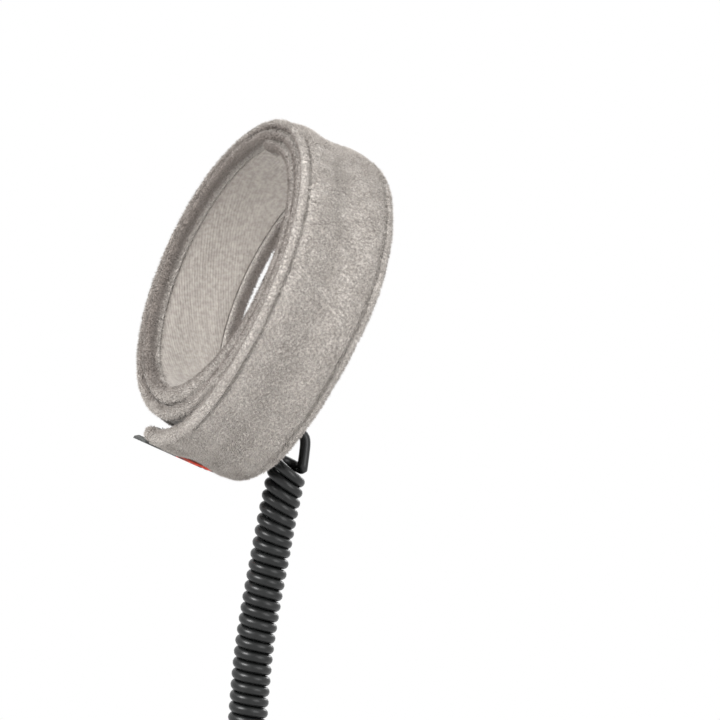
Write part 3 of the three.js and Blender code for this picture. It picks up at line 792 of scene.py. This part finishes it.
fibre_mesh = bpy.data.meshes.new("fibre")
half = FIBRE_WIDTH / 2
fibre_mesh.from_pydata([(-half, 0, 0), (half, 0, 0), (0, 0, FIBRE_LENGTH)], [], [(0, 1, 2)])
store(fibre_mesh, "tip", [0.0, 0.0, 1.0])
fibre = bpy.data.objects.new("fibre", fibre_mesh)
scene.collection.objects.link(fibre)
pile, pile_colour = pile_tree(), pile_finish()
for name, mask, density in (
    ("fleece_pile_face", "face_pile", FACE_DENSITY), ("fleece_pile_edge", "edge_pile", EDGE_DENSITY)
):
    wanted = density * 1
    fibres = grown(name, strap, pile, Fibre=fibre, Mask=mask, Density=wanted, Seed=11,
                   Finish=pile_colour)
    piece = new_piece(name, fibres, pile_colour, "fleece")
bpy.data.objects.remove(fibre)


# The lining: a fine flat knit on the strap's warm inner side, laid in the window between the
# seam lips and stitched down along both sides.
def swept(name, section, winds):
    """A closed mesh of a section of [across, out] corners swept along the wound strap."""
    grid = np.repeat(np.array(section)[None], len(winds), 0)
    wind_at = np.repeat(winds[:, None], len(section), 1)
    return tube_mesh(name, strap_points(wind_at, grid[..., 0], grid[..., 1]))


SEAM_FROM, SEAM_TO = 4.5, WOUND - 4.4
SEAM_WINDS = np.arange(SEAM_FROM, SEAM_TO, RING_STEP)
LINING = [
    (-11.25, -1.75), (-10.75, -2.1), (-6, -2.2), (0, -2.2), (6, -2.2), (10.75, -2.1),
    (11.25, -1.75), (11.25, -1.42), (6, -1.42), (0, -1.42), (-6, -1.42), (-11.25, -1.42),
]


def knit(name, dark, light):
    """Fine knit: rows of small loops across the strap, slightly uneven."""
    material, surface = finish_of(name, 0.9, Sheen_Weight=0.15)
    place = on_object(material)
    wave = node(
        material, "ShaderNodeTexWave", {"bands_direction": "Y"}, Vector=place, Scale=330.0,
        Distortion=2.0,
    )
    noise = node(material, "ShaderNodeTexNoise", Vector=place, Scale=900.0, Detail=3.0)
    coloured(material, surface, mottled(material, place, (dark, light), 700, detail=5.0))
    height = worked(
        material.node_tree, "ShaderNodeMath", "ADD", wave.outputs["Fac"], noise.outputs["Fac"]
    )
    roughened(material, surface, height, 0.5, 0.0002)
    return material


lining = new_piece(
    "knit_lining", swept("knit_lining", LINING, SEAM_WINDS),
    knit("lining_knit", (0.30, 0.27, 0.245), (0.42, 0.385, 0.35)), "lining", "inner_cover",
)


# Inside the seams: needled wadding over the heater, the folded resistance strip on the lining,
# its cut-out and crimps, and two insulated leads that run to the cord's entry.
WADDING = [
    (-14.3, -0.5), (-5, -0.5), (5, -0.5), (10.2, -0.5), (10.2, 0.4), (5, 0.45), (-5, 0.45),
    (-14.3, 0.4),
]


def wadding_finish():
    """Off-white needled fibre."""
    material, surface = finish_of("wadding_fibre", 0.95)
    place = on_object(material)
    fibres = ((0.62, 0.58, 0.50), (0.80, 0.77, 0.68))
    coloured(material, surface, mottled(material, place, fibres, 500, detail=6.0))
    fluff = node(material, "ShaderNodeTexNoise", Vector=place, Scale=2200.0, Detail=4.0)
    roughened(material, surface, fluff.outputs["Fac"], 0.5, 0.0003)
    return material


wadding = new_piece(
    "heater_wadding", swept("heater_wadding", WADDING, SEAM_WINDS), wadding_finish(), "wadding",
    "foam_pad",
)
dress("heating_element", bright_plate("element_alloy_strip", (0.33, 0.30, 0.26), 0.4))
dress("overheat_cutout", moulded_plastic("cutout_case_plastic", (0.82, 0.80, 0.72), 0.5))
tinned = bright_plate("tinned_crimp", (0.60, 0.61, 0.62), 0.35)
dress("crimp_supply", tinned)
dress("crimp_return", tinned)
dress("lead_supply", moulded_plastic("red_insulation", (0.45, 0.02, 0.015), 0.45))
dress("lead_return", moulded_plastic("black_insulation", (0.012, 0.012, 0.013), 0.45))


# The cord's entry: flange, flat neck and nose moulded in one in black rubber. The flange is
# trapped inside the rear seam, and the ribbed nose lets the cord bend without a kink.
ENTRY_WIND = 159.0
FLANGE, NECK_WIDTH, CORE = (6.6, 3.1), 3.4, 1.3
FLANGE_REAR, ENTRY_OUT = 14.3, -0.35
NOSE_BASE, NOSE_LENGTH, NOSE_RADII, NOSE_COLLAR = 16.8, 4.0, (3.0, 2.4), 0.9
NOSE_RIBS, NOSE_RIB_DEPTH = 3, 0.45


def entry_place(wind, out):
    """The matrix that carries a piece to the strap: X along it, Y rearwards, Z out."""
    clock = math.radians(START_CLOCK + wind)
    radius = float(middle_radius(np.array(wind)) + out * loft(np.array(wind)))
    seat = Matrix.Translation((radius * math.sin(clock), 0, radius * math.cos(clock)))
    tilt = Matrix.Rotation(-OPENING_PITCH, 4, "X")
    return Matrix.Scale(MM, 4) @ tilt @ seat @ Matrix.Rotation(clock, 4, "Y")


def block(size, middle, round_off=0.25):
    """A bmesh of a box with rounded edges."""
    made = bmesh.new()
    place = Matrix.Translation(middle) @ Matrix.Diagonal((*size, 1))
    bmesh.ops.create_cube(made, size=1, matrix=place)
    bmesh.ops.bevel(
        made, geom=made.edges, offset=round_off, segments=3, profile=0.5, affect="EDGES"
    )
    return made


nose = [(0, 0), (NOSE_RADII[0], 0), (NOSE_RADII[0], NOSE_COLLAR)]
rib_step = (NOSE_LENGTH - NOSE_COLLAR) / NOSE_RIBS
for rib in range(NOSE_RIBS):
    start = NOSE_COLLAR + rib * rib_step
    share = (rib + 1) / NOSE_RIBS
    crest = NOSE_RADII[0] + (NOSE_RADII[1] - NOSE_RADII[0]) * share
    valley = crest - NOSE_RIB_DEPTH
    nose += [(valley, start + 0.05), (valley, start + 0.35 * rib_step)]
    nose += [(crest, start + 0.45 * rib_step), (crest, start + rib_step)]
nose_part = lathed(rounded([*nose, (0, NOSE_LENGTH)], 0.12), 48)
turn_rearwards = Matrix.Translation((0, NOSE_BASE, 0)) @ Matrix.Rotation(-math.pi / 2, 4, "X")
bmesh.ops.transform(nose_part, matrix=turn_rearwards, verts=nose_part.verts)
flange = block((*FLANGE, CORE), (0, FLANGE_REAR - FLANGE[1] / 2, 0))
neck_front, neck_rear = FLANGE_REAR - FLANGE[1] + 0.5, NOSE_BASE + 1.0
neck_size = (NECK_WIDTH, neck_rear - neck_front, CORE - 0.05)
neck = block(neck_size, (0, (neck_front + neck_rear) / 2, 0))
relief_mesh = combined("cord_entry", nose_part, [neck, flange], "UNION")
relief_mesh.transform(entry_place(ENTRY_WIND, ENTRY_OUT))
new_piece(
    "cord_entry", relief_mesh,
    black_rubber("entry_rubber", (0.026, 0.026, 0.027), (0.015, 0.015, 0.016), 0.5, 2000),
    "relief_rubber", "strain_relief",
)


# Repeated small pieces, such as stitches and hooks: one copy at each point of a carrier, its
# own X along the strap and its own Z away from the surface.
def copies_tree():
    """A copy of the pattern at each of the carrier's points."""
    tree, start, end = tree_with("copies", [("Pattern", "Object"), ("Finish", "Material")])
    along, away = (
        add_to(tree, "GeometryNodeInputNamedAttribute", {"data_type": "FLOAT_VECTOR"}, Name=label)
        for label in ("along", "away")
    )
    outward = add_to(tree, "FunctionNodeAlignRotationToVector", {"axis": "Z"},
                     Vector=away.outputs["Attribute"])
    facing = add_to(tree, "FunctionNodeAlignRotationToVector", {"axis": "X", "pivot_axis": "Z"},
                    Rotation=outward.outputs[0], Vector=along.outputs["Attribute"])
    pattern = add_to(tree, "GeometryNodeObjectInfo", Object=start.outputs["Pattern"])
    placed = add_to(tree, "GeometryNodeInstanceOnPoints", Points=start.outputs["Geometry"],
                    Instance=pattern.outputs["Geometry"], Rotation=facing.outputs[0])
    return made_real(tree, placed.outputs[0], start, end)


def copies_at(name, pattern_mesh, wind, across, out, finish, inwards=False):
    """The plain mesh of a pattern copied to places on the strap."""
    spots = np.broadcast_arrays(wind, across, out)
    wind, across, out = (np.asarray(spot, float).ravel() for spot in spots)
    places = strap_points(wind, across, out)
    along = strap_points(wind + 0.5, across, out) - strap_points(wind - 0.5, across, out)
    away = (strap_points(wind, across, out + 0.5) - places) * (-1 if inwards else 1)
    carrier_mesh = bpy.data.meshes.new(name + "_points")
    carrier_mesh.from_pydata(places.tolist(), [], [])
    for label, vectors in (("along", along), ("away", away)):
        unit = vectors / np.linalg.norm(vectors, axis=1)[:, None]
        store(carrier_mesh, label, unit, "FLOAT_VECTOR", "vector")
    carrier = bpy.data.objects.new(name + "_points", carrier_mesh)
    pattern = bpy.data.objects.new(name + "_pattern", pattern_mesh)
    scene.collection.objects.link(carrier)
    scene.collection.objects.link(pattern)
    mesh = grown(name, carrier, copies, Pattern=pattern, Finish=finish)
    bpy.data.objects.remove(carrier)
    bpy.data.objects.remove(pattern)
    return mesh


def rod(points, radius, sides=8):
    """A round rod through points in the XZ plane, in millimetres, with closed ends, as a mesh."""
    points = np.array(points, float)
    tangent = np.gradient(points, axis=0)
    tangent /= np.linalg.norm(tangent, axis=1)[:, None]
    side = np.stack([-tangent[:, 1], tangent[:, 0]], 1)
    angle = np.arange(sides) * 2 * math.pi / sides
    reach = np.full(len(points), radius)
    reach[[0, -1]] *= 0.55
    rings = []
    for point, normal, size in zip(points, side, reach):
        flat = point + size * np.cos(angle)[:, None] * normal
        rings.append(np.stack([flat[:, 0], size * np.sin(angle), flat[:, 1]], 1))
    return tube_mesh("rod", np.array(rings) * MM)


copies = copies_tree()
STITCH_PITCH, STITCH_LENGTH, THREAD_RADIUS = 3.0, 2.1, 0.17
LINING_SEAM, LINING_OUT = 12.0, -2.2
GROOVE_OUT, GROOVE_OUT_LOOSE = 1.2, 0.55
stitch = rod(
    [(-STITCH_LENGTH / 2, -0.25), (-0.4 * STITCH_LENGTH, 0.02), (0, 0.10),
     (0.4 * STITCH_LENGTH, 0.02), (STITCH_LENGTH / 2, -0.25)], THREAD_RADIUS,
)
thread = fleece("seam_thread", (0.42, 0.39, 0.36), (0.52, 0.49, 0.45), roughness=0.6)


def seam_places(first_wind, last_wind):
    """Where a row of stitches puts each stitch, in degrees of winding."""
    step = degrees_for(STITCH_PITCH, (first_wind + last_wind) / 2)
    return np.arange(first_wind, last_wind, step)


top_winds = seam_places(OUTER_TURN_FROM, STITCH_ENDS - 2)
lining_winds = seam_places(6, INNER_TURN_TO - 2)
top_out = GROOVE_OUT + GROOVE_OUT_LOOSE * bulge(top_winds, LOOSE_CLOCK, LOOSE_SPREAD)
for row, at, across, out in (
    ("topstitch", top_winds, TOP_SEAM, top_out),
    ("lining_stitch", lining_winds, LINING_SEAM, LINING_OUT),
):
    for side, sign in (("front", -1), ("rear", 1)):
        name = f"{row}_{side}"
        stitches = copies_at(
            name, stitch, at, sign * across, out, thread, inwards=row == "lining_stitch"
        )
        new_piece(name, stitches, thread, "fleece")


# The hook tape: stiff black woven tape with a field of small moulded hooks, sewn under the
# outer end. Its hooks catch the nap of the layer below.
TAPE_FROM, TAPE_TO = 882.0, WOUND - degrees_for(3.0, WOUND)
TAPE_HALF, TAPE_ROOF, TAPE_BACKING = 13.5, -2.5, 0.55
HOOK_PITCH, HOOK_THICKNESS = 1.35, 0.09


def woven_tape(name, dark, light, scale, roughness=0.75):
    """Dense black weave: ribs across the tape, with the thread's own sheen."""
    material, surface = finish_of(name, roughness, Sheen_Weight=0.1)
    place = on_object(material)
    ribs = node(
        material, "ShaderNodeTexWave", Vector=place, Scale=scale, Distortion=1.5, Detail=2.0
    )
    coloured(material, surface, mottled(material, place, (dark, light), 900, detail=4.0))
    roughened(material, surface, ribs.outputs["Fac"], 0.6, 0.00015)
    return material


tape_winds = np.linspace(TAPE_FROM, TAPE_TO, 18)
tape_floor = TAPE_ROOF - TAPE_BACKING
tape_section = [
    (-TAPE_HALF, tape_floor), (0, tape_floor), (TAPE_HALF, tape_floor),
    (TAPE_HALF, TAPE_ROOF), (0, TAPE_ROOF), (-TAPE_HALF, TAPE_ROOF),
]
tape_black = woven_tape("hook_tape_weave", (0.022, 0.022, 0.022), (0.04, 0.04, 0.04), 500.0)
new_piece(
    "hook_tape_backing", swept("hook_tape_backing", tape_section, tape_winds), tape_black,
    "hook_tape", "hook_tape",
)
hook = rod(
    [(0, -0.05), (0, 0.35), (0.03, 0.55), (0.14, 0.70), (0.28, 0.68), (0.36, 0.54), (0.36, 0.42)],
    HOOK_THICKNESS, 6,
)
tape_step = degrees_for(HOOK_PITCH, TAPE_FROM)
hook_winds, hook_across = np.meshgrid(
    np.arange(TAPE_FROM + tape_step, TAPE_TO - 0.6 * tape_step, tape_step),
    np.arange(-TAPE_HALF + HOOK_PITCH, TAPE_HALF - 0.5, HOOK_PITCH),
)
hooks = copies_at(
    "tape_hooks", hook, hook_winds, hook_across, tape_floor, tape_black, inwards=True
)
new_piece("tape_hooks", hooks, tape_black, "hook_tape")


# The pull tab: stiff black webbing sewn across the outer end, with plain red bars woven in.
# It springs a little outwards past the end, so that a finger gets under it.
TAB_FLOOR, TAB_THICKNESS = 2.5, 0.8
TAB_OVERLAP, TAB_REACH, TAB_SPRING = 6.0, 5.0, 2.0
TAB_REAR, TAB_RIB = 9.5, 0.05
BARS_FROM, BARS_TO, BAR_PITCH, BAR_WIDTH = -0.5, 8.5, 3.1, 2.5
tab_across = np.linspace(-HALF_WIDTH, TAB_REAR, 105)
tab_from = WOUND - degrees_for(TAB_OVERLAP, WOUND)
tab_to = WOUND + degrees_for(TAB_REACH, WOUND)
tab_winds = np.linspace(tab_from, tab_to, 36)


def tab_points(wind, across, out):
    """The tab lies on the end's taper, then lifts off beyond it."""
    reach = np.clip((wind - WOUND) / (tab_to - WOUND), 0, 1)
    points = strap_points(np.minimum(wind, WOUND), across, out + TAB_SPRING * reach**1.3)
    along = strap_points(np.full_like(wind, WOUND), across, out)
    ahead = along - strap_points(np.full_like(wind, WOUND - 1), across, out)
    ahead /= np.linalg.norm(ahead, axis=-1)[..., None]
    return points + ahead * (reach * TAB_REACH * MM)[..., None]


ribs = TAB_RIB * np.abs(np.sin(tab_across * math.pi))
upper = np.column_stack([tab_across, TAB_FLOOR + TAB_THICKNESS - TAB_RIB + ribs])[::-1]
lower = np.column_stack([tab_across, TAB_FLOOR + TAB_RIB - ribs])
tab_section = np.vstack([lower, upper])
tab_grid = np.repeat(tab_section[None], len(tab_winds), 0)
tab_wind_at = np.repeat(tab_winds[:, None], len(tab_section), 1)
tab_mesh = tube_mesh("pull_tab", tab_points(tab_wind_at, tab_grid[..., 0], tab_grid[..., 1]))
bars_across = tab_grid[..., 0]
bars = (bars_across > BARS_FROM) & (bars_across < BARS_TO)
store(tab_mesh, "band", bars & ((bars_across - BARS_FROM) % BAR_PITCH < BAR_WIDTH))


def tab_finish():
    """Black webbing with its red bars."""
    material = woven_tape("tab_webbing_weave", (0.035, 0.036, 0.034), (0.06, 0.062, 0.058), 700.0)
    surface = material.node_tree.nodes["Principled BSDF"]
    black = surface.inputs["Base Color"].links[0].from_socket
    red = (0.80, 0.06, 0.02, 1)
    coloured(material, surface, blended(material, marked(material, "band"), black, red))
    return material


new_piece("pull_tab", tab_mesh, tab_finish(), "tab_webbing", "end_tab")
tab_stitch_across = np.arange(-HALF_WIDTH + 2, TAB_REAR - 1, STITCH_PITCH * 0.8)
tab_thread = moulded_plastic("tab_thread", (0.05, 0.05, 0.05), 0.6)
across_stitch = stitch.copy()
across_stitch.transform(Matrix.Rotation(math.pi / 2, 4, "Z"))
new_piece(
    "tab_stitches",
    copies_at("tab_stitches", across_stitch, tab_from + 1.6, tab_stitch_across,
              TAB_FLOOR + TAB_THICKNESS, tab_thread),
    tab_thread, "tab_webbing",
)


# The floor and the light: a pale studio. The background is white to the eye and in
# reflections, and two large lamps and a third from behind shape the pile and the rubber.
AMBIENT, LAMP_AIM = 0.55, Vector((0, 0, -0.05))
FLOOR_DROP, FLOOR_REACH, FLOOR_RIM, FLOOR_SHADE, FLOOR_WHITE = 0.012, 1.2, 120, 0.86, 0.6


def shown_white(tree, plain, white):
    """White where the camera or a reflection looks, and the plain shade for everything else."""
    path = add_to(tree, "ShaderNodeLightPath")
    seen = path.outputs["Is Camera Ray"]
    for ray in ("Is Glossy Ray", "Is Transmission Ray"):
        seen = worked(tree, "ShaderNodeMath", "MAXIMUM", seen, path.outputs[ray])
    mix = add_to(tree, "ShaderNodeMixShader")
    for socket, value in zip(mix.inputs, (seen, plain, white)):
        tree.links.new(value, socket)
    return mix.outputs[0]


world = bpy.data.worlds.new("studio")
scene.world = world
world.use_nodes = True
sky = world.node_tree
ambient = sky.nodes["Background"]
ambient.inputs["Color"].default_value = (1, 1, 1, 1)
ambient.inputs["Strength"].default_value = AMBIENT
backdrop = add_to(sky, "ShaderNodeBackground", Color=(1, 1, 1, 1), Strength=1.0)
sky.links.new(
    shown_white(sky, ambient.outputs[0], backdrop.outputs[0]),
    sky.nodes["World Output"].inputs["Surface"],
)

floor_mesh = bpy.data.meshes.new("floor")
floor_level = cad_box[0].z - FLOOR_DROP
rim = np.arange(FLOOR_RIM) * 2 * math.pi / FLOOR_RIM
floor_mesh.from_pydata(
    [(FLOOR_REACH * math.cos(a), FLOOR_REACH * math.sin(a), floor_level) for a in rim], [],
    [range(FLOOR_RIM)],
)
floor = bpy.data.objects.new("floor", floor_mesh)
scene.collection.objects.link(floor)
floor_finish, floor_surface = finish_of("studio_floor", 0.9)
floor_surface.inputs["Base Color"].default_value = (*[FLOOR_SHADE] * 3, 1)
floor_tree = floor_finish.node_tree
floor_glow = node(floor_finish, "ShaderNodeEmission", Color=(1, 1, 1, 1), Strength=1.0)
floor_white = node(floor_finish, "ShaderNodeMixShader", Fac=FLOOR_WHITE)
floor_tree.links.new(floor_surface.outputs[0], floor_white.inputs[1])
floor_tree.links.new(floor_glow.outputs[0], floor_white.inputs[2])
floor_tree.links.new(
    shown_white(floor_tree, floor_surface.outputs[0], floor_white.outputs[0]),
    floor_tree.nodes["Material Output"].inputs["Surface"],
)
floor_mesh.materials.append(floor_finish)


def softbox(name, place, size, power):
    """A soft lamp that looks at the middle of the object."""
    lamp = bpy.data.lights.new(name, "AREA")
    lamp.shape = "RECTANGLE"
    lamp.size, lamp.size_y = size
    lamp.energy = power
    holder = bpy.data.objects.new(name, lamp)
    holder.location = place
    holder.rotation_euler = (Vector(place) - LAMP_AIM).to_track_quat("Z", "Y").to_euler()
    scene.collection.objects.link(holder)


softbox("key", (0.5, -1.35, 1.15), (0.7, 0.7), 47)
softbox("fill", (1.6, 0.7, 0.3), (0.9, 1.2), 15)
softbox("rear", (-0.9, 1.3, 0.8), (0.8, 1.2), 14)

scene.view_settings.view_transform = "Standard"
